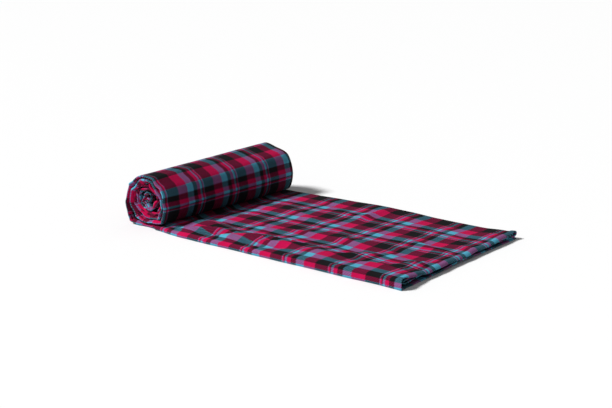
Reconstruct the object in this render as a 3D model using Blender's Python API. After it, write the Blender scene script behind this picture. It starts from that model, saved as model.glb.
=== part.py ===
"""A woven check blanket, folded in four along its length and rolled up from one end.

The cloth is one piece. It was folded in half twice, so that a band of four plies
lies on the floor, one continuous back-and-forth section with a broad outer fold
along the near edge. The left part of the band is wound into a roll that lies on
the rest of it, and the plies end together at the right.

Frame: metres, +Z up, X along the band towards its free end, Y across it towards
the far edge, the origin at the middle of the footprint on the floor.
"""

from collections import namedtuple
from math import cos, exp, pi, radians, sin

import bmesh
import bpy
from mathutils import Vector
from mathutils.geometry import interpolate_bezier

# The band, as it lies folded
BAND_WIDTH = 0.375
FREE_END_X = 0.3211
PLY = 0.0014
SECOND_PLY = 0.30  # heights of the inner plies, as shares of the way from the lowest to the top one
THIRD_PLY = 0.62
NEAR = -BAND_WIDTH / 2
FAR = BAND_WIDTH / 2

# The roll
ROLL_X = -0.2660
ROLL_Z = 0.0530
STRIP = 0.0062  # the four plies of the band, wound tight
STRIP_Z = 0.0036  # the middle of the strip where it still lies on the floor
LIFT_AT_CORNER = 0.0006  # how far it has risen where it starts up the roll's left side
RUN_TO_CORNER = 0.0240  # how far left of the roll's middle that is
TONGUE_REACH = 0.0200  # how far the strip's start reaches back into the loose band
BAND_START = 0.0120  # where the loose band begins, left of the roll's middle
TURN_PITCH = 0.0075
INNER_TURNS = 4  # like the second turn, each smaller than the last
SECOND_TURN_RADIUS = 0.0395
STEPS_PER_CORNER = 3
STRIP_INSET = 0.0004  # keeps the wound strip inside the loose band that it grows from
END_STAGGER = 0.0022  # how far one turn's edge lies behind another's
STAGGER_PACE = 0.21  # the swing of that stagger from one step of the spiral to the next, in radians
STRIP_COLUMNS = (0.35, 0.70)  # shares across the strip where its section has points of its own

# The height of the band's top over the floor: near the front edge, in the middle, at the back
Rise = namedtuple("Rise", "x near middle far")
BAND_RISE = (
    Rise(-0.300, 0.0072, 0.0072, 0.0072),
    Rise(-0.205, 0.0080, 0.0084, 0.0086),
    Rise(-0.140, 0.0118, 0.0125, 0.0095),
    Rise(-0.060, 0.0145, 0.0120, 0.0115),
    Rise(0.060, 0.0158, 0.0132, 0.0145),
    Rise(0.150, 0.0172, 0.0122, 0.0098),
    Rise(0.250, 0.0205, 0.0122, 0.0092),
    Rise(0.300, 0.0238, 0.0138, 0.0130),
    Rise(0.3211, 0.0245, 0.0132, 0.0155),
)
NEAR_REACH = 0.075  # how far in from the front edge its height is felt
FAR_REACH = 0.060

# Soft ridges in the top ply: from one place to another, with height and half width
Crease = namedtuple("Crease", "x0 y0 x1 y1 height half_width")
CREASES = (
    Crease(-0.215, -0.136, -0.150, -0.112, 0.0040, 0.014),
    Crease(-0.112, -0.130, 0.040, -0.078, 0.0042, 0.013),
    Crease(0.043, -0.160, 0.150, -0.138, 0.0036, 0.015),
    Crease(0.150, -0.138, 0.205, -0.086, 0.0036, 0.015),
    Crease(0.268, -0.120, 0.302, -0.086, 0.0040, 0.014),
    Crease(0.036, 0.070, 0.056, 0.180, 0.0038, 0.014),
    Crease(0.180, 0.020, 0.290, -0.012, 0.0026, 0.017),
    Crease(-0.120, 0.060, -0.020, 0.020, 0.0024, 0.018),
)
CREASE_END = 0.12  # a crease's height at its ends, as a share of half a wave

# Where the parts of the section stop at the free end, short of the top ply
BOTTOM_SHORT = 0.0050
SECOND_SHORT = 0.0075
INNER_FOLD_SHORT = 0.0030
THIRD_SHORT = 0.0040
SHORT_REACH = 0.040
SELVEDGE_BACK = 0.0020  # where the two selvedges stop, in from the far edge
SECOND_SELVEDGE_BACK = 0.0060

# The folds of the section
OUTER_FOLD_DEPTH = 0.0085
OUTER_FOLD_SHARE = 0.55  # the depth of a low outer fold, as a share of its height
OUTER_FOLD_LEAST = 0.0008
INNER_FOLD_BACK = 0.0018  # how far the inner fold stays behind the outer one
INNER_FOLD_NESTED = 0.72
SIDE_FOLD_SHARE = 0.80
FOLD_FULLNESS = 0.75  # below 1, a fold is fuller than a half ellipse
OUTER_FOLD_STEPS = 6
SIDE_FOLD_STEPS = 4

# The grid of the loose band
STATION_STEP = 0.0195
LAST_STATION_BACK = 0.008
TOP_COLUMNS = 18
COLUMN_SPREAD = 1.3  # above 1, the top ply's points stand closer near the front edge
BOTTOM_COLUMNS = (0.06, -0.06)
INNER_COLUMNS = (-0.11, -0.03, 0.06, 0.13)

# The corners of the wound cloth: direction from the roll's middle, in degrees up from +X,
# and the radius of the outside there, at the near end and at the far end
Corner = namedtuple("Corner", "angle near far")
FIRST_TURN = (
    Corner(225, 0.0680, 0.0640),
    Corner(190, 0.0560, 0.0530),
    Corner(150, 0.0518, 0.0505),
    Corner(110, 0.0495, 0.0495),
    Corner(70, 0.0508, 0.0487),
    Corner(30, 0.0515, 0.0510),
    Corner(-10, 0.0525, 0.0590),
    Corner(-45, 0.0560, 0.0605),
)
SECOND_TURN = (
    Corner(-90, 0.0440, 0.0440),
    Corner(-125, 0.0490, 0.0480),
    Corner(-165, 0.0425, 0.0450),
    Corner(-205, 0.0395, 0.0420),
    Corner(-250, 0.0398, 0.0408),
    Corner(-290, 0.0422, 0.0402),
    Corner(-330, 0.0430, 0.0420),
    Corner(-370, 0.0440, 0.0485),
    Corner(-405, 0.0455, 0.0515),
)
HEART = (
    Corner(-405, 0.0176, 0.0180),
    Corner(-450, 0.0116, 0.0116),
    Corner(-500, 0.0108, 0.0108),
    Corner(-555, 0.0106, 0.0106),
    Corner(-610, 0.0104, 0.0104),
)

CLOTH_COLOUR = (0.30, 0.022, 0.060, 1.0)
CLOTH_ROUGHNESS = 0.9
SMOOTH_ANGLE = radians(50)


def ease(share):
    """A smooth step from 0 to 1 as share goes from 0 to 1."""
    share = min(max(share, 0.0), 1.0)
    return share * share * (3 - 2 * share)


def base_height(x, y):
    """The height of the band's top over the floor, without its creases."""
    after = next((k for k in range(1, len(BAND_RISE)) if x <= BAND_RISE[k].x), len(BAND_RISE) - 1)
    left, right = BAND_RISE[after - 1], BAND_RISE[after]
    share = ease((x - left.x) / (right.x - left.x))
    near, middle, far = (a + (b - a) * share for a, b in zip(left[1:], right[1:]))
    from_near = (y - NEAR) / NEAR_REACH
    from_far = (FAR - y) / FAR_REACH
    return middle + (near - middle) * exp(-(from_near**2)) + (far - middle) * exp(-(from_far**2))


def crease_height(x, y):
    """How far the creases lift the top ply at a place."""
    lift = 0.0
    for crease in CREASES:
        along = Vector((crease.x1 - crease.x0, crease.y1 - crease.y0))
        reach = Vector((x - crease.x0, y - crease.y0))
        share = min(max(reach.dot(along) / along.length_squared, 0.0), 1.0)
        away = (reach - along * share).length
        crown = sin(pi * (CREASE_END + (1 - 2 * CREASE_END) * share))
        lift += crease.height * crown * exp(-((away / crease.half_width) ** 2))
    return lift


def ply_height(x, y, share=1.0):
    """The middle of a ply that lies at this share of the way up from the lowest ply."""
    return PLY / 2 + share * (base_height(x, y) - PLY)


def fold(x, side, edge, low, high, depth, steps):
    """The points of a fold from one ply up to another, out towards side: -1 near, 1 far."""
    middle, half = (low + high) / 2, (high - low) / 2
    points = []
    for k in range(steps + 1):
        turn = -pi / 2 + pi * k / steps
        out = abs(cos(turn)) ** FOLD_FULLNESS if 0 < k < steps else 0.0
        points.append(Vector((x, edge - side * depth * (1 - out), middle + half * sin(turn))))
    return points


def inner_fold(x, edge):
    """The fold that joins the third ply to the second, nested in the outer fold."""
    low, high = ply_height(x, edge, SECOND_PLY), ply_height(x, edge, THIRD_PLY)
    return fold(x, -1, edge, low, high, SIDE_FOLD_SHARE * (high - low), SIDE_FOLD_STEPS)[::-1]


def far_fold(x, edge):
    """The fold along the far edge that joins the top ply to the third."""
    low, high = ply_height(x, FAR, THIRD_PLY), ply_height(x, FAR)
    return fold(x, 1, edge, low, high, SIDE_FOLD_SHARE * (high - low), SIDE_FOLD_STEPS)[::-1]


def top_ply(x, start, end):
    """The points of the top ply between its two folds, raised by the creases."""
    points = []
    for k in range(1, TOP_COLUMNS):
        y = start + (end - start) * (k / TOP_COLUMNS) ** COLUMN_SPREAD
        points.append(Vector((x, y, ply_height(x, y) + crease_height(x, y))))
    return points


def section(x):
    """The middle line of the four plies across the band at x, from selvedge to selvedge."""
    ending = ease(1 - (FREE_END_X - x) / SHORT_REACH)

    def short(points, amount):
        return [Vector((point.x - amount * ending, point.y, point.z)) for point in points]

    edge = NEAR + PLY / 2
    top = ply_height(x, NEAR)
    depth = min(OUTER_FOLD_DEPTH, OUTER_FOLD_SHARE * top + OUTER_FOLD_LEAST)
    bottom = [Vector((x, y, PLY / 2)) for y in (FAR - SELVEDGE_BACK, *BOTTOM_COLUMNS)]
    outer = fold(x, -1, edge, PLY / 2, top, depth, OUTER_FOLD_STEPS)
    back = far_fold(x, FAR - PLY / 2)
    third = [Vector((x, y, ply_height(x, y, THIRD_PLY))) for y in reversed(INNER_COLUMNS)]
    inner = inner_fold(x, edge + depth * INNER_FOLD_NESTED + INNER_FOLD_BACK)
    second_columns = (*INNER_COLUMNS, FAR - SECOND_SELVEDGE_BACK)
    second = [Vector((x, y, ply_height(x, y, SECOND_PLY))) for y in second_columns]
    return (
        short(bottom, BOTTOM_SHORT)
        + outer
        + top_ply(x, edge + depth, back[0].y)
        + back
        + short(third, THIRD_SHORT)
        + short(inner, INNER_FOLD_SHORT)
        + short(second, SECOND_SHORT)
    )


def loose_band(material):
    """The four loose plies as one sheet, thickened to a solid."""
    start = ROLL_X - BAND_START
    count = round((FREE_END_X - start) / STATION_STEP)
    places = [start + (FREE_END_X - start) * k / count for k in range(count)]
    places += [FREE_END_X - LAST_STATION_BACK, FREE_END_X]
    mesh = bmesh.new()
    rows = [[mesh.verts.new(point) for point in section(x)] for x in places]
    for left, right in zip(rows, rows[1:]):
        for k in range(len(left) - 1):
            mesh.faces.new((left[k], left[k + 1], right[k + 1], right[k]))
    bmesh.ops.recalc_face_normals(mesh, faces=mesh.faces)
    band = finished("blanket", mesh, material)
    thickness = band.modifiers.new("Ply", "SOLIDIFY")
    thickness.thickness = PLY
    thickness.offset = 0
    thickness.use_even_offset = True
    return band


def corner_place(corner, turn, across):
    """A corner of the wound strip's middle line, at a share across the band from near to far."""
    outside = corner.near + (corner.far - corner.near) * ease(across)
    radius = (outside - STRIP / 2) * (1 - turn * TURN_PITCH / SECOND_TURN_RADIUS)
    angle = radians(corner.angle)
    return Vector((ROLL_X + radius * cos(angle), 0, ROLL_Z + radius * sin(angle)))


def wound_line(across):
    """The strip's middle line in the XZ plane, from the floor to the heart of the roll."""
    corners = [
        Vector((ROLL_X + TONGUE_REACH, 0, STRIP_Z)),
        Vector((ROLL_X - RUN_TO_CORNER, 0, STRIP_Z + LIFT_AT_CORNER)),
    ]
    corners += [corner_place(corner, 0, across) for corner in FIRST_TURN]
    for turn in range(INNER_TURNS):
        corners += [corner_place(corner, turn, across) for corner in SECOND_TURN]
    corners[-1:] = [corner_place(corner, 0, across) for corner in HEART]
    return smooth_line(corners)


def smooth_line(corners):
    """A round line through the corners, with a few steps between each two."""
    line = []
    padded = [corners[0] * 2 - corners[1], *corners, corners[-1] * 2 - corners[-2]]
    for before, here, there, after in zip(padded, padded[1:], padded[2:], padded[3:]):
        out_handle = here + (there - before) / 6
        in_handle = there - (after - here) / 6
        line += interpolate_bezier(here, out_handle, in_handle, there, STEPS_PER_CORNER + 1)[:-1]
    return [*line, corners[-1]]


def strip_section():
    """The strip's section, round at both edges: share across, inset from the edge, height."""
    half = STRIP / 2
    round_edge = [(half * (1 - sin(pi * k / 4)), half * cos(pi * k / 4)) for k in range(5)]
    under = [(share, 0, -half) for share in STRIP_COLUMNS]
    over = [(share, 0, half) for share in reversed(STRIP_COLUMNS)]
    near = [(0.0, inset, height) for inset, height in round_edge]
    far = [(1.0, inset, -height) for inset, height in round_edge]
    return near + under + far + over


def strip_ring(mesh, lines, step):
    """The points of the strip's section at one step of the spiral."""
    reach = FAR - STRIP_INSET - END_STAGGER * (1 - cos(step * STAGGER_PACE)) / 2
    ring = []
    for across, inset, height in strip_section():
        line = lines[across]
        before, after = line[max(step - 1, 0)], line[min(step + 1, len(line) - 1)]
        along = (after - before).normalized()
        outward = Vector((along.z, 0, -along.x))
        place = line[step] + outward * height
        place.y = (2 * across - 1) * (reach - inset)
        ring.append(mesh.verts.new(place))
    return ring


def wound_roll(material):
    """The rolled strip: its rounded section carried along the spiral."""
    lines = {across: wound_line(across) for across in (0.0, *STRIP_COLUMNS, 1.0)}
    mesh = bmesh.new()
    rings = [strip_ring(mesh, lines, step) for step in range(len(lines[0.0]))]
    for left, right in zip(rings, rings[1:]):
        for k in range(len(left)):
            after = (k + 1) % len(left)
            mesh.faces.new((left[k], left[after], right[after], right[k]))
    mesh.faces.new(rings[0])
    mesh.faces.new(rings[-1])
    bmesh.ops.recalc_face_normals(mesh, faces=mesh.faces)
    roll = finished("wound_strip", mesh, material)
    roll.hide_render = True
    roll.display_type = "WIRE"
    return roll


def finished(name, mesh, material):
    """An object of the built mesh, shaded smooth, with its material."""
    data = bpy.data.meshes.new(name)
    mesh.to_mesh(data)
    mesh.free()
    data.materials.append(material)
    data.shade_smooth()
    data.set_sharp_from_angle(angle=SMOOTH_ANGLE)
    made = bpy.data.objects.new(name, data)
    bpy.context.scene.collection.objects.link(made)
    return made


def cloth_material():
    """The woven cloth: its main crimson, matt."""
    material = bpy.data.materials.new("check_cloth")
    material.use_nodes = True
    shader = material.node_tree.nodes["Principled BSDF"]
    shader.inputs["Base Color"].default_value = CLOTH_COLOUR
    shader.inputs["Roughness"].default_value = CLOTH_ROUGHNESS
    shader.inputs["Metallic"].default_value = 0.0
    return material


def build():
    """The blanket: the loose band and its wound end, joined into one solid."""
    for leftover in list(bpy.data.objects):
        bpy.data.objects.remove(leftover)
    material = cloth_material()
    blanket = loose_band(material)
    roll = wound_roll(material)
    join = blanket.modifiers.new("Wound end", "BOOLEAN")
    join.operation = "UNION"
    join.object = roll


build()
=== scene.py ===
"""The looks of a woven check blanket, folded in four and partly rolled up.

The blanket is one cloth. It lies as a band of four plies, and the left part of
the band is wound into a roll on top of the rest. The cloth is made here as one
thin sheet that follows those folds from selvedge to selvedge and from the free
end to the heart of the roll, so that its check runs on across every fold.

Frame: metres, +Z up, X along the band towards its free end, Y across it.
"""

import logging
from dataclasses import dataclass
from enum import Enum
from math import cos, exp, pi, radians, sin

import bpy
from mathutils import Matrix, Vector, noise
from mathutils.geometry import interpolate_bezier


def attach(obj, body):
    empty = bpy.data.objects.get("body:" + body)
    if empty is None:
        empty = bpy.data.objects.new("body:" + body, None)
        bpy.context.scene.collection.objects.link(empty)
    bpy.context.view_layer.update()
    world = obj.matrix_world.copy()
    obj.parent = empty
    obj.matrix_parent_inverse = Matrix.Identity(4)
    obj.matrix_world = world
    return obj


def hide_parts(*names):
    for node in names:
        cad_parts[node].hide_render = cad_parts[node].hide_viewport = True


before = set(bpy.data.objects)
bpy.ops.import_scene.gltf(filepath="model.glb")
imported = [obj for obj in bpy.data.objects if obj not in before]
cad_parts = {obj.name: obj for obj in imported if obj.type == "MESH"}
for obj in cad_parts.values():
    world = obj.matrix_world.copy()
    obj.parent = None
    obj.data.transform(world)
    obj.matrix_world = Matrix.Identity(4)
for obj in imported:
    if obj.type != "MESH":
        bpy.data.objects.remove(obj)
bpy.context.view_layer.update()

NOISE_GAIN = 1.7  # brings Blender's noise to about -1 to 1
log = logging.getLogger("blanket")


def ease(share: float) -> float:
    """Step smoothly from 0 to 1.

    Args:
        share: How far along the step the place is; it may lie outside 0 to 1.

    Returns:
        The height of the step there.
    """
    share = min(max(share, 0.0), 1.0)
    return share * share * (3 - 2 * share)


def mix(low: float, high: float, share: float) -> float:
    """Return the value at this share of the way from low to high."""
    return low + (high - low) * share


def ripple(x: float, y: float, size: float, seed: float) -> float:
    """Wander smoothly over a surface.

    Args:
        x: The first coordinate, in metres.
        y: The second coordinate, in metres.
        size: The width of one swell, in metres.
        seed: Which of the many patterns to take.

    Returns:
        A value that mostly stays between -1 and 1.
    """
    return NOISE_GAIN * noise.noise(Vector((x / size, y / size, seed)))


@dataclass(frozen=True)
class Step:
    """A smooth step from 0 to 1: where it starts and how far it reaches."""

    start: float
    reach: float

    def at(self, place: float) -> float:
        """Return the height of the step at a place."""
        return ease((place - self.start) / self.reach)


@dataclass(frozen=True)
class Wander:
    """A smooth wander of one measure: how far it goes, the width of a swell, which pattern."""

    amount: float
    size: float
    seed: float
    line: float = 0.0

    def share(self, x: float, y: float | None = None) -> float:
        """Return the wander at a place, mostly from -1 to 1; without y, on the pattern's own line."""
        return ripple(x, self.line if y is None else y, self.size, self.seed)

    def at(self, x: float, y: float | None = None) -> float:
        """Return how far the measure wanders at a place."""
        return self.amount * self.share(x, y)


class End(Enum):
    """The ends of the roll."""

    NEAR = "near"
    FAR = "far"


class Part(Enum):
    """The parts of a row of the cloth, in order from the lower selvedge to the upper one."""

    BOTTOM = "lowest ply, the outer one in the roll"
    OUTER = "outer fold"
    TOP = "top ply, the inmost one in the roll"
    FAR = "fold along the far edge"
    THIRD = "third ply"
    INNER = "inner fold"
    SECOND = "second ply"


class Yarn(Enum):
    """The colours of the yarn, as linear RGB."""

    CRIMSON = (0.530, 0.0034, 0.0700)
    BLACK = (0.0078, 0.0075, 0.0090)
    BLUE = (0.090, 0.400, 0.570)


@dataclass(frozen=True)
class Stripe:
    """One stripe of the sett: its yarn and its width as a share of the repeat."""

    yarn: Yarn
    width: float


@dataclass(frozen=True)
class Sett:
    """The order of the stripes, the same along the cloth and across it."""

    repeat: float = 0.0986
    stripes: tuple[Stripe, ...] = (
        Stripe(Yarn.BLACK, 0.275),
        Stripe(Yarn.CRIMSON, 0.250),
        Stripe(Yarn.BLUE, 0.170),
        Stripe(Yarn.BLACK, 0.105),
        Stripe(Yarn.CRIMSON, 0.080),
        Stripe(Yarn.BLUE, 0.050),
        Stripe(Yarn.BLACK, 0.020),
        Stripe(Yarn.CRIMSON, 0.035),
        Stripe(Yarn.BLUE, 0.015),
    )
    broad_crimson_middle: float = 0.400
    crimson_along: float = 0.4853
    crimson_across: float = 0.4270


@dataclass
class NodeBoard:
    """A material's node tree, with short ways to add to it."""

    tree: bpy.types.NodeTree

    def add(self, kind: str, **values: object) -> bpy.types.Node:
        """Add a node.

        Args:
            kind: The node's type, without its ShaderNode prefix.
            values: Properties to set on the node.

        Returns:
            The new node.
        """
        node = self.tree.nodes.new("ShaderNode" + kind)
        for name, value in values.items():
            setattr(node, name, value)
        return node

    def feed(self, socket: bpy.types.NodeSocket, value: object) -> None:
        """Give an input socket a link or a constant."""
        if isinstance(value, bpy.types.NodeSocket):
            self.tree.links.new(value, socket)
        else:
            socket.default_value = value

    def math(self, operation: str, *values: object) -> bpy.types.NodeSocket:
        """Add a Math node.

        Args:
            operation: The node's operation.
            values: Its inputs, sockets or numbers.

        Returns:
            The result's socket.
        """
        node = self.add("Math", operation=operation)
        for socket, value in zip(node.inputs, values):
            self.feed(socket, value)
        return node.outputs[0]

    def blend(self, kind: str, share: object, first: object, second: object) -> bpy.types.NodeSocket:
        """Blend two colours.

        Args:
            kind: The blend type, such as MIX or MULTIPLY.
            share: How much of the second colour to use.
            first: The first colour.
            second: The second colour.

        Returns:
            The result's socket.
        """
        node = self.add("Mix", data_type="RGBA", blend_type=kind)
        self.feed(node.inputs["Factor"], share)
        self.feed(node.inputs["A"], first)
        self.feed(node.inputs["B"], second)
        return next(socket for socket in node.outputs if socket.type == "RGBA")


@dataclass(frozen=True)
class Weave:
    """The sockets that say where a place lies in the cloth, in metres and in threads."""

    flat: bpy.types.NodeSocket
    along: bpy.types.NodeSocket
    across: bpy.types.NodeSocket
    weft_at: bpy.types.NodeSocket
    warp_at: bpy.types.NodeSocket
    weft_number: bpy.types.NodeSocket
    warp_number: bpy.types.NodeSocket
    warp_up: bpy.types.NodeSocket


@dataclass(frozen=True)
class CheckTwill:
    """The finish of the cloth: a yarn-dyed check in a two-and-two twill."""

    slot: str = "check_cloth"
    uv_map: str = "cloth"
    sett: Sett = Sett()
    spare_repeats: float = 20.0
    thread: float = 0.00115
    twill_repeat: float = 4.0
    twill_float: float = 1.5
    overlay: float = 0.55
    yarn_mean: float = 0.5
    # Painted shade: hollow_shade darkens the colour of the thread on top as if the hollows between
    # threads shaded it.
    hollow_shade: float = 0.64
    streak: float = 0.16
    mottle: float = 0.16
    mottle_scale: float = 26.0
    mottle_detail: float = 3.0
    fuzz_scale: float = 900.0
    fuzz_roughness: float = 0.16
    fuzz_relief: float = 0.6
    hem_line: float = 0.0135
    hem_line_width: float = 0.0012
    hem_line_depth: float = 1.5
    relief: float = 0.00022
    relief_strength: float = 0.55
    roughness: float = 0.86
    specular: float = 0.06
    sheen: float = 0.012
    sheen_roughness: float = 0.45

    def stripes_along(self, board: NodeBoard, place: bpy.types.NodeSocket) -> bpy.types.NodeSocket:
        """Colour a direction of the cloth with the sett.

        Args:
            board: The node tree to add to.
            place: The distance from the start of a repeat, in repeats.

        Returns:
            The colour's socket.
        """
        ramp = board.add("ValToRGB")
        ramp.color_ramp.interpolation = "CONSTANT"
        stops = ramp.color_ramp.elements
        while len(stops) > 1:
            stops.remove(stops[-1])
        start = 0.0
        for order, stripe in enumerate(self.sett.stripes):
            stop = stops[0] if order == 0 else stops.new(start)
            stop.position = start
            stop.color = (*stripe.yarn.value, 1.0)
            start += stripe.width
        board.feed(ramp.inputs[0], board.math("FRACT", place))
        return ramp.outputs["Color"]

    def thread_tone(self, board: NodeBoard, thread: bpy.types.NodeSocket) -> bpy.types.NodeSocket:
        """Return a small lightness change that differs from one thread to the next."""
        node = board.add("TexWhiteNoise", noise_dimensions="1D")
        board.feed(node.inputs["W"], thread)
        return board.math("MULTIPLY_ADD", node.outputs["Value"], self.streak, 1 - self.streak / 2)

    def thread_round(self, board: NodeBoard, place: bpy.types.NodeSocket) -> bpy.types.NodeSocket:
        """Return the rounded profile of the threads that lie side by side in a direction."""
        return board.math("ABSOLUTE", board.math("SINE", board.math("MULTIPLY", place, pi)))

    def weave(self, board: NodeBoard) -> Weave:
        """Count the threads from the cloth's flat map.

        Of each four threads along a diagonal, the first two have the warp on top.

        Args:
            board: The node tree to add to.

        Returns:
            The sockets of the weave.
        """
        flat = board.add("UVMap", uv_map=self.uv_map).outputs["UV"]
        split = board.add("SeparateXYZ")
        board.feed(split.inputs[0], flat)
        along, across = split.outputs["X"], split.outputs["Y"]
        weft_at = board.math("DIVIDE", along, self.thread)
        warp_at = board.math("DIVIDE", across, self.thread)
        weft_number = board.math("FLOOR", weft_at)
        warp_number = board.math("FLOOR", warp_at)
        step = board.math("MODULO", board.math("ADD", weft_number, warp_number), self.twill_repeat)
        warp_up = board.math("LESS_THAN", step, self.twill_float)
        return Weave(flat, along, across, weft_at, warp_at, weft_number, warp_number, warp_up)

    def colour(self, board: NodeBoard, weave: Weave) -> bpy.types.NodeSocket:
        """Colour the cloth by the yarns that cross at each place.

        Args:
            board: The node tree to add to.
            weave: The sockets of the weave.

        Returns:
            The colour's socket.
        """
        sett = self.sett
        start = sett.crimson_along - sett.broad_crimson_middle * sett.repeat
        end = sett.crimson_across + sett.broad_crimson_middle * sett.repeat
        weft_place = board.math("MULTIPLY_ADD", weave.along, 1 / sett.repeat, -start / sett.repeat)
        warp_place = board.math("MULTIPLY_ADD", weave.across, -1 / sett.repeat, end / sett.repeat)
        weft = self.stripes_along(board, board.math("ADD", weft_place, self.spare_repeats))
        warp = self.stripes_along(board, board.math("ADD", warp_place, self.spare_repeats))
        weft = board.blend("MULTIPLY", 1.0, weft, self.thread_tone(board, weave.weft_number))
        warp = board.blend("MULTIPLY", 1.0, warp, self.thread_tone(board, weave.warp_number))

        # Painted shade between the threads: the geometric mean of the two yarns darkens cells where yarns
        # of different colours cross, and hollow_shade darkens the colour of the thread on top.
        both = board.add("Gamma")
        board.feed(both.inputs["Color"], board.blend("MULTIPLY", 1.0, weft, warp))
        board.feed(both.inputs["Gamma"], self.yarn_mean)
        upper = board.blend("MIX", weave.warp_up, weft, warp)
        upper = board.blend("MULTIPLY", 1.0, upper, (self.hollow_shade,) * 3 + (1.0,))
        woven = board.blend("MIX", self.overlay, upper, both.outputs["Color"])

        mottle = board.add("TexNoise")
        board.feed(mottle.inputs["Vector"], weave.flat)
        board.feed(mottle.inputs["Scale"], self.mottle_scale)
        board.feed(mottle.inputs["Detail"], self.mottle_detail)
        shade = board.math("MULTIPLY_ADD", mottle.outputs["Fac"], self.mottle, 1 - self.mottle / 2)
        return board.blend("MULTIPLY", 1.0, woven, shade)

    def height(
        self, board: NodeBoard, weave: Weave, fuzz: bpy.types.NodeSocket
    ) -> bpy.types.NodeSocket:
        """Raise the threads over one another and sink the hem's stitching.

        Args:
            board: The node tree to add to.
            weave: The sockets of the weave.
            fuzz: The fuzz of the yarn, from 0 to 1.

        Returns:
            The socket of the height, in thicknesses of a thread.
        """
        weft_round = self.thread_round(board, weave.weft_at)
        warp_round = self.thread_round(board, weave.warp_at)
        drop = board.math("SUBTRACT", warp_round, weft_round)
        threads = board.math("MULTIPLY_ADD", weave.warp_up, drop, weft_round)
        fuzzy = board.math("MULTIPLY_ADD", fuzz, self.fuzz_relief, threads)
        from_line = board.math("ABSOLUTE", board.math("SUBTRACT", weave.along, self.hem_line))
        seam = board.math("LESS_THAN", from_line, self.hem_line_width / 2)
        return board.math("MULTIPLY_ADD", seam, -self.hem_line_depth, fuzzy)

    def make(self) -> bpy.types.Material:
        """Build the material.

        Returns:
            The finished material.
        """
        material = bpy.data.materials.new("shuka_twill")
        material.use_nodes = True
        board = NodeBoard(material.node_tree)
        shader = material.node_tree.nodes["Principled BSDF"]
        weave = self.weave(board)
        board.feed(shader.inputs["Base Color"], self.colour(board, weave))

        fuzz = board.add("TexNoise")
        board.feed(fuzz.inputs["Vector"], weave.flat)
        board.feed(fuzz.inputs["Scale"], self.fuzz_scale)
        least = self.roughness - self.fuzz_roughness / 2
        rough = board.math("MULTIPLY_ADD", fuzz.outputs["Fac"], self.fuzz_roughness, least)
        board.feed(shader.inputs["Roughness"], rough)

        bump = board.add("Bump")
        board.feed(bump.inputs["Strength"], self.relief_strength)
        board.feed(bump.inputs["Distance"], self.relief)
        board.feed(bump.inputs["Height"], self.height(board, weave, fuzz.outputs["Fac"]))
        board.feed(shader.inputs["Normal"], bump.outputs["Normal"])

        shader.inputs["Sheen Weight"].default_value = self.sheen
        shader.inputs["Sheen Roughness"].default_value = self.sheen_roughness
        shader.inputs["Specular IOR Level"].default_value = self.specular
        return material


@dataclass(frozen=True)
class Rise:
    """The height of the band's top at one place along it: near edge, middle, far edge."""

    x: float
    near: float
    middle: float
    far: float


@dataclass(frozen=True)
class Crease:
    """A soft ridge in the top ply, from one place to another."""

    x0: float
    y0: float
    x1: float
    y1: float
    height: float
    half_width: float
    lean: float = 0.0


@dataclass(frozen=True)
class Corner:
    """A corner of the wound band's middle line about the roll's middle, in millimetres."""

    near_x: float
    near_z: float
    far_x: float
    far_z: float

    def at(self, end: End) -> tuple[float, float]:
        """Return the corner's X and Z at one end of the roll."""
        return (self.near_x, self.near_z) if end is End.NEAR else (self.far_x, self.far_z)


@dataclass(frozen=True)
class Point:
    """A point of the sheet: its place, and its distances along and across the flat cloth."""

    place: Vector
    along: float
    across: float
    thickness: float


@dataclass(frozen=True)
class Plies:
    """How the cloth's width lies in four plies, and the mesh's columns in each part of it."""

    width: float = 0.375
    cloth: float = 0.0011
    floor_gap: float = 0.0007
    second: float = 0.30
    third: float = 0.62
    lower_selvedge_back: float = 0.002
    upper_selvedge_back: float = 0.006
    crest_across: float = 0.3770
    wound_crest_across: float = 0.3788
    bottom_columns: int = 24
    outer_fold_columns: int = 12
    top_columns: int = 52
    far_fold_columns: int = 6
    third_columns: int = 7
    inner_fold_columns: int = 6
    second_columns: int = 7
    top_spread: float = 1.15

    @property
    def near(self) -> float:
        """Return the Y of the near edge."""
        return -self.width / 2

    @property
    def far(self) -> float:
        """Return the Y of the far edge."""
        return self.width / 2


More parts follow.
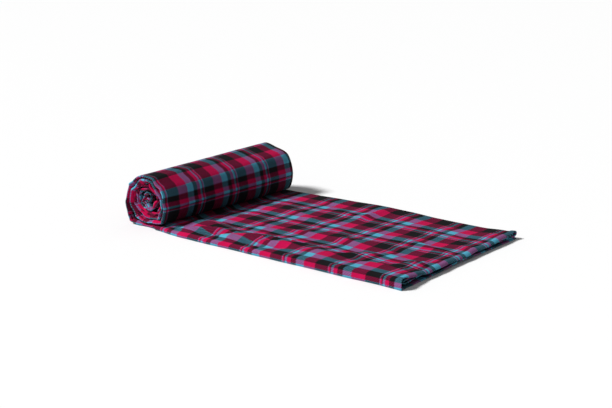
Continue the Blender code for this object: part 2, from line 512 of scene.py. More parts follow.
@dataclass
class LooseBand:
    """The part of the band that lies loose, from its free end to the foot of the roll.

    The rises give the height of its top. Its near side spills out at the floor and slopes
    up to the shoulder, where the top ply begins. The creases and swells lift that ply.
    """

    plies: Plies
    free_end: float = 0.3211
    roll_start: float = -0.2460
    row_step: float = 0.0042
    near_reach: float = 0.054
    far_reach: float = 0.060
    spill: float = 0.0090
    opening: Step = Step(-0.25, 0.09)
    shoulder: float = -0.0035
    slack_shoulder: float = 0.0020
    tightening: Step = Step(-0.02, 0.12)
    closed_shoulder: float = 0.0040
    foot: float = 0.0020
    bulge: float = 0.72
    fullness: float = 0.75
    rises: tuple[Rise, ...] = (
        Rise(-0.300, 0.0072, 0.0072, 0.0072),
        Rise(-0.205, 0.0080, 0.0084, 0.0086),
        Rise(-0.140, 0.0130, 0.0122, 0.0100),
        Rise(-0.060, 0.0138, 0.0118, 0.0118),
        Rise(0.020, 0.0150, 0.0125, 0.0140),
        Rise(0.090, 0.0188, 0.0128, 0.0130),
        Rise(0.150, 0.0200, 0.0122, 0.0104),
        Rise(0.250, 0.0206, 0.0122, 0.0098),
        Rise(0.300, 0.0210, 0.0136, 0.0132),
        Rise(0.3211, 0.0210, 0.0132, 0.0158),
    )
    creases: tuple[Crease, ...] = (
        Crease(-0.235, -0.142, -0.140, -0.112, 0.0075, 0.018, 0.3),
        Crease(-0.190, -0.186, -0.094, -0.138, 0.0088, 0.013, 0.6),
        Crease(-0.158, -0.184, -0.094, -0.164, -0.0062, 0.011, 0.0),
        Crease(-0.100, -0.186, 0.016, -0.120, 0.0096, 0.013, 0.6),
        Crease(-0.045, -0.184, 0.070, -0.160, -0.0055, 0.011, 0.0),
        Crease(-0.010, -0.166, 0.095, -0.120, 0.0075, 0.012, 0.5),
        Crease(0.085, -0.150, 0.160, -0.142, 0.0036, 0.012, 0.4),
        Crease(0.145, -0.140, 0.215, -0.080, 0.0064, 0.013, 0.4),
        Crease(0.205, -0.160, 0.285, -0.142, 0.0040, 0.010, 0.4),
        Crease(0.262, -0.125, 0.306, -0.080, 0.0062, 0.013, 0.3),
        Crease(0.036, 0.060, 0.056, 0.183, 0.0052, 0.013, 0.0),
        Crease(0.170, 0.026, 0.296, -0.014, 0.0040, 0.014, 0.4),
        Crease(-0.130, 0.066, -0.015, 0.018, 0.0040, 0.014, 0.4),
        Crease(-0.070, -0.085, 0.050, -0.050, 0.0040, 0.012, 0.3),
        Crease(-0.205, -0.066, -0.130, -0.028, 0.0026, 0.012, 0.3),
        Crease(0.075, -0.056, 0.170, -0.028, 0.0026, 0.012, 0.3),
        Crease(-0.060, 0.120, 0.010, 0.096, 0.0026, 0.011, 0.3),
        Crease(0.130, 0.120, 0.220, 0.090, 0.0026, 0.012, 0.3),
    )
    crown_start: float = 0.12
    crown_span: float = 0.76
    sharpest: float = 0.003
    swell: Wander = Wander(0.0015, 0.036, 3.1)
    rumple: Wander = Wander(0.0005, 0.017, 8.7)
    swell_slant: float = 0.45
    swelling: Step = Step(-0.25, 0.05)
    near_wander: Wander = Wander(0.0010, 0.060, 5.5)
    far_wander: Wander = Wander(0.0010, 0.050, 1.5, 1.0)
    fold_depth: float = 0.8
    inner_fold_back: float = 0.0035
    creasing: Step = Step(-0.004, 0.012)

    def base_height(self, x: float, y: float) -> float:
        """Return the height of the band's top over the floor, without its creases."""
        last = len(self.rises) - 1
        after = next((k for k in range(1, last + 1) if x <= self.rises[k].x), last)
        left, right = self.rises[after - 1], self.rises[after]
        share = ease((x - left.x) / (right.x - left.x))
        near = mix(left.near, right.near, share)
        middle = mix(left.middle, right.middle, share)
        far = mix(left.far, right.far, share)
        from_near = (y - self.plies.near) / self.near_reach
        from_far = (self.plies.far - y) / self.far_reach
        lift = (near - middle) * exp(-(from_near**2)) + (far - middle) * exp(-(from_far**2))
        return middle + lift

    def crease_height(self, x: float, y: float) -> float:
        """Return how far the creases and the cloth's small swells lift the top ply."""
        lift = 0.0
        for crease in self.creases:
            along = Vector((crease.x1 - crease.x0, crease.y1 - crease.y0))
            reach = Vector((x - crease.x0, y - crease.y0))
            share = reach.dot(along) / along.length_squared
            inside = min(max(share, 0.0), 1.0)
            away = reach - along * inside
            side = 1.0 if along.x * reach.y - along.y * reach.x > 0 else -1.0
            leaning = side * crease.lean * min(1.0, away.length / crease.half_width)
            half_width = max(crease.half_width * (1 - leaning), self.sharpest)
            crown = sin(pi * (self.crown_start + self.crown_span * inside))
            lift += crease.height * crown * exp(-((away.length / half_width) ** 2))
        run = (x + y) * self.swell_slant
        return lift + (self.swell.at(run, y) + self.rumple.at(run, y)) * self.swelling.at(x)

    def side(
        self, edge: float, shoulder: float, top: float, lower: int, upper: int
    ) -> list[tuple[float, float]]:
        """Bend the broad outer fold, which spills out at the floor and slopes up to the top.

        Args:
            edge: The Y of its outermost line, at the floor.
            shoulder: The Y where the top ply begins.
            top: The height there.
            lower: The number of steps below the outermost line.
            upper: The number of steps above it.

        Returns:
            The fold's Y and height at each step.
        """
        low = self.plies.floor_gap
        points = []
        for k in range(lower):
            turn = pi / 2 * k / lower
            y = edge + self.foot * (1 - sin(turn))
            points.append((y, mix(low, low + self.foot / 2, 1 - cos(turn))))
        for k in range(upper + 1):
            turn = pi / 2 * k / upper
            out = cos(turn) ** self.bulge if k < upper else 0.0
            up = sin(turn) ** self.bulge
            points.append((mix(shoulder, edge, out), mix(low + self.foot / 2, top, up)))
        return points

    def ply_height(self, x: float, y: float, share: float = 1.0) -> float:
        """Return the height of the middle of the ply at this share of the way up the stack."""
        gap = self.plies.floor_gap
        return gap + share * (self.base_height(x, y) - 2 * gap)


@dataclass(frozen=True)
class FreeEnd:
    """How the plies lie at the band's free end.

    They part, sink at the far corner, and stop short of the top ply, each by its own back.
    A line says where on the wander's pattern an edge lies.
    """

    reach: float = 0.040
    lift: float = 0.0042
    lift_middle: float = -0.005
    lift_reach: float = 0.055
    third_lift: float = 0.5
    second_lift: float = 0.8
    sink: float = 0.45
    sinking: Step = Step(0.10, 0.07)
    bottom_back: float = 0.0020
    third_back: float = 0.0095
    inner_back: float = 0.0030
    second_back: float = 0.0110
    even: float = 0.85
    evening: Step = Step(0.12, 0.05)
    ply_wander: Wander = Wander(0.0016, 0.02, 2.2)
    ply_spacing: float = 9.0
    edge_wander: Wander = Wander(0.0012, 0.03, 7.0)
    third_line: float = 0.21
    second_line: float = 0.4
    outer_line: float = 0.03
    curl: float = 0.0045
    curl_reach: float = 0.0080
    curl_side: float = 0.022
    rows_back: tuple[float, ...] = (0.0, 0.0003, 0.0009, 0.0018, 0.0030, 0.0045, 0.0062, 0.0080)
    rows_end: float = 0.0110

    def line(self, part: Part) -> float:
        """Return which line of the edge's wander a part follows; joined parts share one."""
        if part is Part.BOTTOM:
            return 0.0
        if part is Part.SECOND:
            return self.second_line
        return self.third_line if part in (Part.THIRD, Part.INNER) else self.outer_line

    def curled(self, from_end: float) -> float:
        """Return how far the top ply's edge turns down, at this distance from the end."""
        tip = max(0.0, 1 - from_end / self.curl_reach)
        return self.curl * (1 - (1 - tip * tip) ** 0.5)


@dataclass
class FoldLine:
    """The points of one row of the sheet, gathered from selvedge to selvedge."""

    places: list[Vector]
    parts: list[Part]
    crest_shift: float = 0.0

    def add(self, part: Part, places: list[Vector]) -> None:
        """Append a part's points to the row."""
        self.places += places
        self.parts += [part] * len(places)


def half_turn(
    edge: float, side: float, low: float, high: float, depth: float, steps: int, fullness: float
) -> list[tuple[float, float]]:
    """Bend a fold from the higher of two heights to the lower one.

    Args:
        edge: The Y that the fold reaches out to.
        side: -1 for a fold at the near side, 1 for one at the far side.
        low: The height where it ends.
        high: The height where it starts.
        depth: How far it reaches.
        steps: The number of steps round it.
        fullness: Below 1, the fold is fuller than a half ellipse.

    Returns:
        The fold's Y and height at each step.
    """
    points = []
    for k in range(steps + 1):
        turn = -pi / 2 + pi * k / steps
        out = abs(cos(turn)) ** fullness if 0 < k < steps else 0.0
        points.append((edge - side * depth * (1 - out), mix(low, high, (1 + sin(turn)) / 2)))
    return points[::-1]


def spread(start: float, end: float, count: int, power: float = 1.0) -> list[float]:
    """Return the values between two ends, without the ends."""
    return [mix(start, end, (k / count) ** power) for k in range(1, count)]


@dataclass
class WoundEnd:
    """The wound part of the band, from the floor under the roll to its heart.

    Its middle line runs through the corners, which are given for both ends of the roll. At
    the near end each turn lags behind the edge, its fold opens by the flare, and its inner
    side slopes back by the flank. The inner turns lie deeper in and are rumpled.
    """

    plies: Plies
    middle_x: float = -0.2660
    middle_z: float = 0.0530
    strip_z: float = 0.0036
    strip_run_in: float = 0.01
    strip_steps: int = 4
    stack: float = 0.0048
    second: float = 0.333
    third: float = 0.667
    row_step: float = 0.0052
    near_handle: float = 0.06
    far_handle: float = 0.26
    fullness: float = 0.85
    lip_steps: int = 4
    lip_round: float = 0.0011
    lip_depth: float = 0.0020
    lip_curve: float = 1.2
    edge_back: float = 0.0006
    inside: Step = Step(0.25, 0.75)
    lag: Wander = Wander(0.0016, 0.030, 4.0, 0.3)
    jag: Wander = Wander(0.0030, 0.019, 2.0, 0.7)
    jag_inside: float = 0.0065
    recess: float = 0.0062
    far_lag: float = 0.5
    flank: float = 0.0075
    flank_wander: Wander = Wander(0.60, 0.017, 9.4, 0.1)
    flank_inside: float = 1.5
    flare: float = 0.0027
    flare_wander: Wander = Wander(0.8, 0.021, 6.6, 0.9)
    flare_inside: float = 0.3
    flaring: Step = Step(12, 10)
    flare_reach: float = 0.028
    ply_wander: Wander = Wander(0.0005, 0.050, 6.1)
    far_fold_depth: float = 0.0016
    inner_fold_back: float = 0.0032
    inner_fold_depth: float = 0.0014
    rumple: float = 0.0048
    rumple_size: float = 0.015
    rumple_seeds: tuple[float, float] = (11.3, 17.9)
    rumple_outside: float = 0.22
    rumpling: Step = Step(0.105, 0.060)
    tightening: Step = Step(0.028, 0.022)
    pinch: float = 0.10
    pinch_reach: float = 0.038
    pinch_height: float = 0.8
    pinched_side: Step = Step(0.0, 0.030)
    pinched_rise: Step = Step(0.012, 0.020)
    crest_shift: float = 0.0050
    shift_start: Step = Step(0.58, 0.06)
    shift_end: Step = Step(0.88, 0.05)
    stretch: float = 0.0130
    corners: tuple[Corner, ...] = (
        Corner(-24.0, -48.8, -24.0, -48.8),
        Corner(-45.9, -45.9, -43.1, -43.1),
        Corner(-51.0, -27.0, -47.5, -27.0),
        Corner(-53.2, -9.2, -49.1, -8.7),
        Corner(-43.6, 24.4, -41.0, 23.7),
        Corner(-15.9, 43.6, -14.0, 45.6),
        Corner(16.3, 44.8, 14.6, 40.2),
        Corner(41.9, 24.2, 45.0, 29.5),
        Corner(48.7, -8.6, 58.0, -7.0),
        Corner(37.4, -37.4, 47.6, -39.6),
        Corner(2.0, -41.2, 2.0, -41.2),
        Corner(-26.3, -36.6, -25.8, -36.8),
        Corner(-42.0, -13.5, -40.5, -10.8),
        Corner(-38.5, 16.5, -35.3, 16.4),
        Corner(-15.0, 35.5, -12.9, 36.2),
        Corner(10.5, 38.0, 12.7, 32.6),
        Corner(28.5, 18.5, 36.5, 21.5),
        Corner(38.0, -4.5, 47.5, -7.0),
        Corner(29.0, -31.0, 33.0, -32.0),
        Corner(4.0, -33.5, 3.0, -33.6),
        Corner(-13.0, -29.0, -19.0, -28.0),
        Corner(-33.0, -11.5, -31.0, -9.0),
        Corner(-31.5, 13.0, -27.5, 10.5),
        Corner(-17.0, 26.0, -10.5, 24.8),
        Corner(4.5, 31.0, 10.5, 24.0),
        Corner(20.5, 14.5, 26.5, 14.5),
        Corner(30.5, -3.5, 34.5, -6.0),
        Corner(24.0, -22.5, 25.5, -24.0),
        Corner(4.0, -26.5, 2.0, -26.0),
        Corner(-15.0, -20.5, -19.5, -16.0),
        Corner(-25.0, -5.5, -21.0, 2.0),
        Corner(-23.0, 11.0, -11.0, 16.5),
        Corner(-8.5, 19.5, 4.5, 19.5),
        Corner(4.5, 22.5, 18.0, 11.0),
        Corner(21.5, 5.5, 23.5, -4.5),
        Corner(11.5, -8.0, 14.0, -16.0),
        Corner(1.5, -19.0, -1.0, -17.5),
        Corner(-8.0, -12.8, -11.5, -9.5),
        Corner(-17.0, -7.0, -11.5, 2.0),
        Corner(-13.5, 6.5, -2.0, 9.5),
        Corner(-4.0, 12.0, 8.5, 4.5),
        Corner(8.0, 8.5, 9.5, -4.0),
        Corner(4.0, -2.0, 2.5, -8.0),
        Corner(-5.5, -2.5, -2.5, -2.5),
    )

    def line(self, end: End) -> list[Vector]:
        """Place the corners of the band's middle line at one end of the roll.

        Args:
            end: Which end of the roll.

        Returns:
            The corners in the XZ plane.
        """
        found = []
        for corner in self.corners:
            x, z = corner.at(end)
            found.append(Vector((self.middle_x + x / 1000, 0, self.middle_z + z / 1000)))
        return found

    def rounded(
        self, corners: list[Vector], counts: list[int], first: Vector, handle: float
    ) -> list[Vector]:
        """Run a round line through corners.

        Args:
            corners: The corners of the line.
            counts: The number of steps from each corner to the next.
            first: A place before the first corner that the line comes from.
            handle: How round the corners are, as a share of their distance.

        Returns:
            The line's places.
        """
        places = []
        padded = [first, *corners, corners[-1] * 2 - corners[-2]]
        for before, here, there, after, count in zip(padded, padded[1:], padded[2:], padded[3:], counts):
            span = (there - here).length
            out_way = (there - before).normalized()
            in_way = (after - here).normalized()
            out_handle = here + out_way * span * handle
            in_handle = there - in_way * span * handle
            places += interpolate_bezier(here, out_handle, in_handle, there, count + 1)[:-1]
        return [*places, corners[-1]]

    def lip(self, edge: float, stack: float, flank: float, steps: int) -> list[tuple[float, float]]:
        """Bend the outer fold at the near end of the roll, which opens towards the roll's heart.

        Args:
            edge: The Y of the fold's crest.
            stack: How far the inner ply lies in from the outer one.
            flank: How far the inner side slopes back.
            steps: The number of steps round the fold.

        Returns:
            Its Y and how far in it lies, at each step.
        """
        points = []
        for k in range(self.lip_steps):
            turn = pi / 2 * k / self.lip_steps
            points.append((edge + self.lip_depth * (1 - sin(turn)), self.lip_round * (1 - cos(turn))))
        for k in range(steps - self.lip_steps + 1):
            share = k / (steps - self.lip_steps)
            points.append((edge + flank * share**self.lip_curve, mix(self.lip_round, stack, share)))
        return points

    def squeezed(self, place: Vector) -> Vector:
        """Return a place near the roll's near end, drawn in where its folded edge tapers."""
        x = place.x - self.middle_x
        z = place.z - self.middle_z
        share = self.pinch * ease((self.pinch_reach - self.plies.width / 2 - place.y) / self.pinch_reach)
        share *= self.pinched_side.at(x) * self.pinched_rise.at(place.z)
        x -= x * share
        z -= self.pinch_height * z * share * self.pinched_side.at(z)
        return Vector((self.middle_x + x, place.y, self.middle_z + z))

    def rumpled(self, place: Vector) -> Vector:
        """Return a place near the roll's near end, pushed about, least in the tight outer turns."""
        share = self.rumpling.at(-place.y)
        if share == 0:
            return place
        x = place.x - self.middle_x
        z = place.z - self.middle_z
        tight = self.tightening.at((x * x + z * z) ** 0.5)
        reach = self.rumple * mix(1.0, self.rumple_outside, tight) * share
        push_x, push_z = (ripple(x, z, self.rumple_size, seed) for seed in self.rumple_seeds)
        return place + Vector((push_x, 0, push_z)) * reach


@dataclass
class Blanket:
    """The whole cloth: one sheet over the loose band and the wound end.

    The slips and stretches don't move the sheet. They say how far the cloth has slid or
    given way within it, and so where its check lies.
    """

    plies: Plies
    band: LooseBand
    roll: WoundEnd
    finish: CheckTwill
    name: str = "shuka_cloth"
    body: str = "root"
    node: str = "blanket"
    end: FreeEnd = FreeEnd()
    hem_ending: Step = Step(0.0085, 0.0015)
    hem_extra: float = 0.0011
    top_across: float = 0.164
    far_stretch: float = 0.0200
    far_stretching: Step = Step(0.132, 0.055)
    loosening: Step = Step(-0.245, 0.05)
    tuck_reach: float = 0.016
    tuck: tuple[tuple[float, float], ...] = (
        (-0.25, -0.140),
        (-0.215, -0.136),
        (-0.15, -0.118),
        (-0.11, -0.128),
        (0.04, -0.090),
        (0.12, -0.120),
        (0.205, -0.100),
        (0.33, -0.100),
    )
    along_start: float = 0.0200
    slip: float = 0.0205
    slip_at_end: float = 0.0125
    slip_in_roll: float = 0.0042
    slip_on_top: float = 0.50
    slip_reach: float = 0.024
    slipping: Step = Step(0.0, 0.190)
    winding: Step = Step(0.42, 0.12)
    side_reach: float = 0.005
    end_stretch: float = 0.0085
    end_stretching: Step = Step(0.0, 0.045)

    def slipped(self, part: Part, x: float, y: float, distance: float) -> float:
        """Measure how far the cloth has slipped along the band where it lies.

        Args:
            part: The part of the fold line.
            x: The place along the band.
            y: The place across it.
            distance: The way along the band from its free end.

        Returns:
            What to add to the distance to have the place on the flat cloth.
        """
        in_roll = self.winding.at(distance)
        full = -mix(self.slip_at_end, self.slip, self.slipping.at(distance))
        full -= self.slip_in_roll * in_roll
        none = -self.end_stretch * (1 - self.end_stretching.at(distance))
        over = full * mix(self.slip_on_top, 1.0, in_roll)
        if part is Part.BOTTOM:
            return full
        if part is Part.OUTER:
            return mix(full, over, ease((y - self.plies.near + self.band.spill) / self.side_reach))
        if part is not Part.TOP:
            return none
        return mix(over, none, ease(0.5 + (y - self.tuck_line(x)) / (2 * self.slip_reach)))

    def hem_share(self, distance: float) -> float:
        """Return 1 in the hem and 0 beyond it, at this distance from the free end."""
        return 1 - self.hem_ending.at(distance)

    def tuck_line(self, x: float) -> float:
        """Return the Y of the crease that takes up the top ply's slack at this place."""
        for left, right in zip(self.tuck, self.tuck[1:]):
            if x <= right[0]:
                return mix(left[1], right[1], ease((x - left[0]) / (right[0] - left[0])))
        return self.tuck[-1][1]

    def loose_row(self, x: float) -> FoldLine:
        """Fold one row of the loose band.

        Args:
            x: Where the row lies along the band.

        Returns:
            The row's points from the lower selvedge to the upper one.
        """
        plies, band, end = self.plies, self.band, self.end
        from_end = band.free_end - x
        ending = ease(1 - from_end / end.reach)
        curl = end.curled(from_end)
        row = FoldLine([], [])
        top = band.ply_height(x, plies.near)
        opened = band.opening.at(x)
        edge = plies.near + plies.floor_gap + band.near_wander.at(x) * opened - band.spill * opened
        open_shoulder = mix(band.slack_shoulder, band.shoulder, band.tightening.at(x))
        shoulder = plies.near + mix(band.closed_shoulder, open_shoulder, opened)

        def lifted(y: float) -> float:
            """Return how far the lowest ply has come off the floor at the free end."""
            return end.lift * ending * exp(-(((y - end.lift_middle) / end.lift_reach) ** 2))

        def put(part: Part, pairs: list[tuple[float, float]], short: float = 0.0) -> None:
            """Add points to the row, drawn back from the free end by short."""
            wave = end.ply_wander.at(0.0, pairs[0][1] * end.ply_spacing)
            placed = []
            for y, z in pairs:
                drawn = short * (1 - end.even * end.evening.at(y))
                drawn += wave + end.edge_wander.at(y, end.line(part))
                placed.append(Vector((x - ending * drawn, y, z)))
            row.add(part, placed)

        def sunk(share: float, y: float) -> float:
            """Return a ply's share of the height, less at the far corner of the free end."""
            return share * (1 - end.sink * ending * end.sinking.at(y))

        selvedge = plies.far - plies.lower_selvedge_back
        ys = [selvedge, *spread(selvedge, edge + band.foot, plies.bottom_columns)]
        put(Part.BOTTOM, [(y, plies.floor_gap + lifted(y)) for y in ys], end.bottom_back)
        lower = self.roll.lip_steps
        put(Part.OUTER, band.side(edge, shoulder, top, lower, plies.outer_fold_columns - lower))

        low = band.ply_height(x, plies.far, sunk(plies.third, plies.far))
        high = band.ply_height(x, plies.far)
        depth = band.fold_depth * (high - low)
        far_edge = plies.far - plies.floor_gap
        far_edge -= band.far_wander.amount * (1 + band.far_wander.share(x)) / 2
        back = far_edge - depth
        pairs = []
        for y in spread(shoulder, back, plies.top_columns, plies.top_spread):
            crease = band.crease_height(x, y) * band.creasing.at(y - shoulder)
            height = band.ply_height(x, y) + crease
            pairs.append((y, height - curl * ease((y - plies.near) / end.curl_side)))
        put(Part.TOP, pairs)
        put(Part.FAR, half_turn(far_edge, 1, low, high, depth, plies.far_fold_columns, band.fullness))

        pairs = []
        for y in spread(back, shoulder, plies.third_columns):
            height = band.ply_height(x, y, sunk(plies.third, y))
            pairs.append((y, height + end.third_lift * lifted(y)))
        put(Part.THIRD, pairs, end.third_back)
        low = band.ply_height(x, plies.near, plies.second)
        high = band.ply_height(x, plies.near, plies.third)
        depth = band.fold_depth * (high - low)
        inner_edge = plies.near + band.inner_fold_back
        inner = half_turn(inner_edge, -1, low, high, depth, plies.inner_fold_columns, band.fullness)
        put(Part.INNER, inner, end.inner_back)

        selvedge = plies.far - plies.upper_selvedge_back
        pairs = []
        for y in [*spread(inner_edge + depth, selvedge, plies.second_columns), selvedge]:
            height = band.ply_height(x, y, sunk(plies.second, y))
            pairs.append((y, height + end.second_lift * lifted(y)))
        put(Part.SECOND, pairs, end.second_back)
        for place in row.places:
            place.z += self.hem_extra / 2 * self.hem_share(from_end)
        return row

    def wound_row(
        self, near: Vector, far: Vector, near_in: Vector, far_in: Vector, step: int, share_in: float
    ) -> FoldLine:
        """Fold one row of the wound band.

        Args:
            near: The middle of the band's stack at the near end of the roll.
            far: The same at the far end.
            near_in: The way from the outer ply to the inner ones, at the near end.
            far_in: The same at the far end.
            step: The row's number in the spiral.
            share_in: How far along the spiral the row lies, from 0 to 1.

        Returns:
            The row's points from the outer selvedge to the inner one.
        """
        plies, roll = self.plies, self.roll
        row = FoldLine([], [])
        inside = roll.inside.at(share_in)
        run = step * roll.row_step
        lag = roll.lag.amount * (1 + roll.lag.share(run))
        lag += mix(roll.jag.amount, roll.jag_inside, inside) * abs(roll.jag.share(run))
        lag += roll.recess * inside
        flare = roll.flare * mix(1.0, roll.flare_inside, inside) * roll.flaring.at(step)
        flare *= 1 + roll.flare_wander.at(run)
        reach = plies.width / 2 - roll.edge_back - lag
        far_edge = plies.width / 2 - roll.edge_back - roll.far_lag * lag
        flank = roll.flank * (1 + roll.flank_wander.at(run)) * mix(1.0, roll.flank_inside, inside)
        shifted = roll.shift_start.at(share_in) * (1 - roll.shift_end.at(share_in))
        row.crest_shift = roll.crest_shift * shifted

        def put(part: Part, pairs: list[tuple[float, float]]) -> None:
            """Add points given by Y and by how far in from the outer ply they lie."""
            placed = []
            for y, inward in pairs:
                share = ease(0.5 + y / plies.width)
                way = near_in.lerp(far_in, share)
                loose = 1 + flare / roll.stack * exp(-(((y + reach) / roll.flare_reach) ** 2))
                wave = roll.ply_wander.at(y, run)
                place = near.lerp(far, share) + way * (inward * loose - roll.stack / 2 + wave)
                placed.append(roll.squeezed(roll.rumpled(Vector((place.x, y, place.z)))))
            row.add(part, placed)

        stack = roll.stack
        second, third = stack * roll.second, stack * roll.third
        selvedge = plies.far - plies.lower_selvedge_back
        ys = [selvedge, *spread(selvedge, roll.lip_depth - reach, plies.bottom_columns)]
        put(Part.BOTTOM, [(y, 0.0) for y in ys])
        put(Part.OUTER, roll.lip(-reach, stack, flank, plies.outer_fold_columns))
        depth = roll.far_fold_depth
        back = far_edge - depth
        ys = spread(flank - reach, back, plies.top_columns, plies.top_spread)
        put(Part.TOP, [(y, stack) for y in ys])
        put(Part.FAR, half_turn(far_edge, 1, third, stack, depth, plies.far_fold_columns, roll.fullness))
        inner_edge = roll.inner_fold_back - reach
        depth = roll.inner_fold_depth
        put(Part.THIRD, [(y, third) for y in spread(back, inner_edge + depth, plies.third_columns)])
        inner = half_turn(inner_edge, -1, second, third, depth, plies.inner_fold_columns, roll.fullness)
        put(Part.INNER, inner)
        selvedge = plies.far - plies.upper_selvedge_back
        ys = [*spread(inner_edge + depth, selvedge, plies.second_columns), selvedge]
        put(Part.SECOND, [(y, second) for y in ys])
        return row

    def across(self, row: FoldLine, x: float | None) -> list[float]:
        """Measure each point's distance across the flat cloth.

        Args:
            row: The row of points.
            x: Where a loose row lies, or None for a wound row.

        Returns:
            The distance from the lower selvedge, in metres, one for each point.
        """
        plies = self.plies
        lengths = [0.0]
        for here, there in zip(row.places, row.places[1:]):
            flat_step = Vector((0, there.y - here.y, there.z - here.z))
            lengths.append(lengths[-1] + flat_step.length)
        crest_length = lengths[row.parts.index(Part.OUTER) + self.roll.lip_steps]
        wound_start = plies.wound_crest_across + row.crest_shift - crest_length
        loose_start = plies.crest_across - crest_length
        loose = 0.0 if x is None else self.loosening.at(x)
        found = [mix(wound_start, loose_start, loose) + length for length in lengths]
        top_start = self.finish.sett.crimson_across + self.top_across
        shift = 0.0
        for k, part in enumerate(row.parts):
            y = row.places[k].y
            if part is Part.BOTTOM:
                found[k] -= self.roll.stretch * ((y - plies.near) / plies.width) ** 2 * (1 - loose)
            if part is Part.TOP and loose > 0:
                drawn = self.far_stretch * self.far_stretching.at(y)
                share = ease(0.5 + (y - self.tuck_line(x)) / (2 * self.tuck_reach))
                shift = (top_start + y - drawn - found[k]) * share * loose
            if part not in (Part.BOTTOM, Part.OUTER):
                found[k] += shift
        return found

    def rows(self) -> list[list[Point]]:
        """Lay out all the rows of the sheet, from the free end to the heart.

        Returns:
            The rows of points.
        """
        band, roll, end = self.band, self.roll, self.end
        made = []
        count = round((band.free_end - band.roll_start) / band.row_step)
        xs = [band.free_end - back for back in end.rows_back]
        xs += [mix(band.free_end - end.rows_end, band.roll_start, k / count) for k in range(count)]
        for x in xs:
            made.append(self.points(self.loose_row(x), x, band.free_end - x))
        near_corners, far_corners = roll.line(End.NEAR), roll.line(End.FAR)
        counts = [roll.strip_steps]
        for here, there in zip(near_corners, near_corners[1:]):
            counts.append(max(2, round((there - here).length / roll.row_step)))
        start = Vector((band.roll_start, 0, roll.strip_z))
        before = start + Vector((roll.strip_run_in, 0, 0))
        near_line = roll.rounded([start, *near_corners], counts, before, roll.near_handle)
        far_line = roll.rounded([start, *far_corners], counts, before, roll.far_handle)
        middle = [near.lerp(far, 0.5) for near, far in zip(near_line, far_line)]
        distance = band.free_end - band.roll_start
        for step, (near, far) in enumerate(zip(near_line, far_line)):
            if step:
                distance += (middle[step] - middle[step - 1]).length
            ways = []
            for line in (near_line, far_line):
                way = (line[min(step + 1, len(line) - 1)] - line[max(step - 1, 0)]).normalized()
                ways.append(Vector((way.z, 0, -way.x)))
            row = self.wound_row(near, far, ways[0], ways[1], step, step / len(near_line))
            made.append(self.points(row, None, distance))
        return made

    def points(self, row: FoldLine, x: float | None, distance: float) -> list[Point]:
        """Turn a row of places into points of the cloth.

        Args:
            row: The folded row.
            x: Where a loose row lies, or None for a wound row.
            distance: The row's distance along the band from its free end.

        Returns:
            The row's points.
        """
        thickness = self.plies.cloth + self.hem_extra * self.hem_share(distance)
        spot = self.band.roll_start if x is None else x
        found = []
        for place, part, across in zip(row.places, row.parts, self.across(row, x)):
            along = distance + self.along_start + self.slipped(part, spot, place.y, distance)
            found.append(Point(place, along, across, thickness))
        return found

    def build(self) -> bpy.types.Object:
        """Make the cloth's sheet, give it its thickness and dress it.

        Returns:
            The finished piece.
        """
        rows = self.rows()
        columns = len(rows[0])
        points = [point for row in rows for point in row]
        faces = []
        for left in range(len(rows) - 1):
            for k in range(columns - 1):
                corner = left * columns + k
                faces.append((corner, corner + 1, corner + columns + 1, corner + columns))
        mesh = bpy.data.meshes.new(self.name)
        mesh.from_pydata([point.place for point in points], [], faces)
        mesh.validate()
        layer = mesh.uv_layers.new(name=self.finish.uv_map)
        for loop in mesh.loops:
            point = points[loop.vertex_index]
            layer.data[loop.index].uv = (point.along, point.across)
        mesh.shade_smooth()
        mesh.materials.append(self.finish.make())
        cloth = bpy.data.objects.new(self.name, mesh)
        bpy.context.scene.collection.objects.link(cloth)

        thickest = max(point.thickness for point in points)
        group = cloth.vertex_groups.new(name="thickness")
        for index, point in enumerate(points):
            group.add([index], point.thickness / thickest, "REPLACE")
        solid = cloth.modifiers.new("Cloth", "SOLIDIFY")
        solid.thickness = thickest
        solid.offset = 0.0
        solid.vertex_group = group.name
        solid.use_even_offset = False
        bpy.ops.object.select_all(action="DESELECT")
        cloth.select_set(True)
        bpy.context.view_layer.objects.active = cloth
        bpy.ops.object.modifier_apply(modifier=solid.name)

        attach(cloth, self.body)
        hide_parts(self.node)
        return cloth


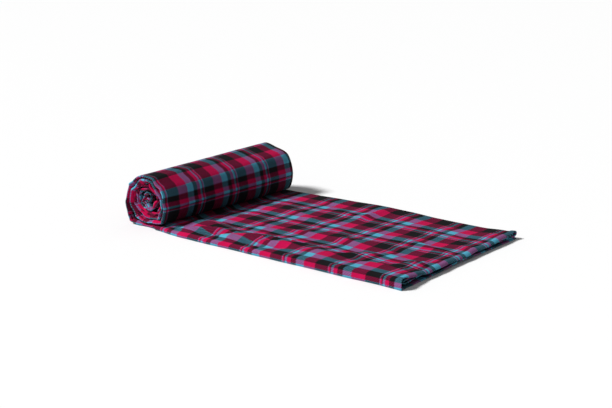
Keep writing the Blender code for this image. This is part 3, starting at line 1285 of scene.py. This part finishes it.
@dataclass
class Studio:
    """The pale floor, the soft light and the camera at the photograph's angle."""

    target: tuple[float, float, float] = (-0.1371, 0.1418, 0.0)
    distance: float = 2.6539
    azimuth: float = 37.732
    elevation: float = 14.911
    tilt: float = 0.20
    lens: float = 76.8
    sensor: float = 36.0
    floor_half: float = 6.0
    floor_tone: float = 0.86
    floor_roughness: float = 0.9
    lamp_away: float = 3.0
    clip_end: float = 50.0
    key_way: tuple[float, float, float] = (-0.46, -0.53, 0.71)
    key_strength: float = 4.2
    key_softness: float = 13.0
    fill_strength: float = 0.23

    def floor(self) -> bpy.types.Object:
        """Lay the plain pale floor and return it."""
        bpy.ops.object.select_all(action="DESELECT")
        bpy.ops.mesh.primitive_plane_add(size=2 * self.floor_half)
        made = bpy.context.active_object
        made.name = "pale_floor"
        material = bpy.data.materials.new("pale_floor")
        material.use_nodes = True
        shader = material.node_tree.nodes["Principled BSDF"]
        shader.inputs["Base Color"].default_value = (self.floor_tone,) * 3 + (1.0,)
        shader.inputs["Roughness"].default_value = self.floor_roughness
        made.data.materials.append(material)
        return made

    def key(self) -> bpy.types.Object:
        """Set the large soft light to the left of the camera and return it."""
        data = bpy.data.lights.new("key", "SUN")
        data.energy = self.key_strength
        data.angle = radians(self.key_softness)
        made = bpy.data.objects.new("key", data)
        way = Vector(self.key_way).normalized()
        made.location = way * self.lamp_away
        made.rotation_euler = way.to_track_quat("Z", "Y").to_euler()
        bpy.context.scene.collection.objects.link(made)
        return made

    def sky(self) -> None:
        """Surround the scene with an even white that lights it softly."""
        world = bpy.data.worlds.new("soft_white")
        world.use_nodes = True
        tree = world.node_tree
        background = tree.nodes["Background"]
        background.inputs["Color"].default_value = (1.0, 1.0, 1.0, 1.0)
        board = NodeBoard(tree)
        path = board.add("LightPath")
        seen = path.outputs["Is Camera Ray"]
        strength = board.math("MULTIPLY_ADD", seen, 1 - self.fill_strength, self.fill_strength)
        board.feed(background.inputs["Strength"], strength)
        bpy.context.scene.world = world

    def camera(self) -> bpy.types.Object:
        """Set the camera where the photograph was taken from and return it."""
        data = bpy.data.cameras.new("camera")
        data.sensor_width = self.sensor
        data.lens = self.lens
        data.clip_end = self.clip_end
        made = bpy.data.objects.new("camera", data)
        azimuth, elevation = radians(self.azimuth), radians(self.elevation)
        forward = Vector((-sin(azimuth) * cos(elevation), cos(azimuth) * cos(elevation), -sin(elevation)))
        right = Vector((cos(azimuth), sin(azimuth), 0.0))
        up = right.cross(forward)
        basis = Matrix((right, up, -forward)).transposed() @ Matrix.Rotation(radians(self.tilt), 3, "Z")
        made.matrix_world = basis.to_4x4()
        made.location = Vector(self.target) - forward * self.distance
        bpy.context.scene.collection.objects.link(made)
        bpy.context.scene.camera = made
        return made

    def build(self) -> None:
        """Set up the floor, the light and the camera."""
        self.floor()
        self.key()
        self.sky()
        self.camera()
        bpy.context.scene.view_settings.view_transform = "Standard"


def main() -> None:
    """Build the blanket and the studio, in order."""
    logging.basicConfig(level=logging.INFO, format="%(message)s")
    plies = Plies()
    blanket = Blanket(plies, LooseBand(plies), WoundEnd(plies), CheckTwill())
    piece = blanket.build()
    log.info("%s: %d faces", piece.name, len(piece.data.polygons))
    Studio().build()


if __name__ == "__main__":
    main()
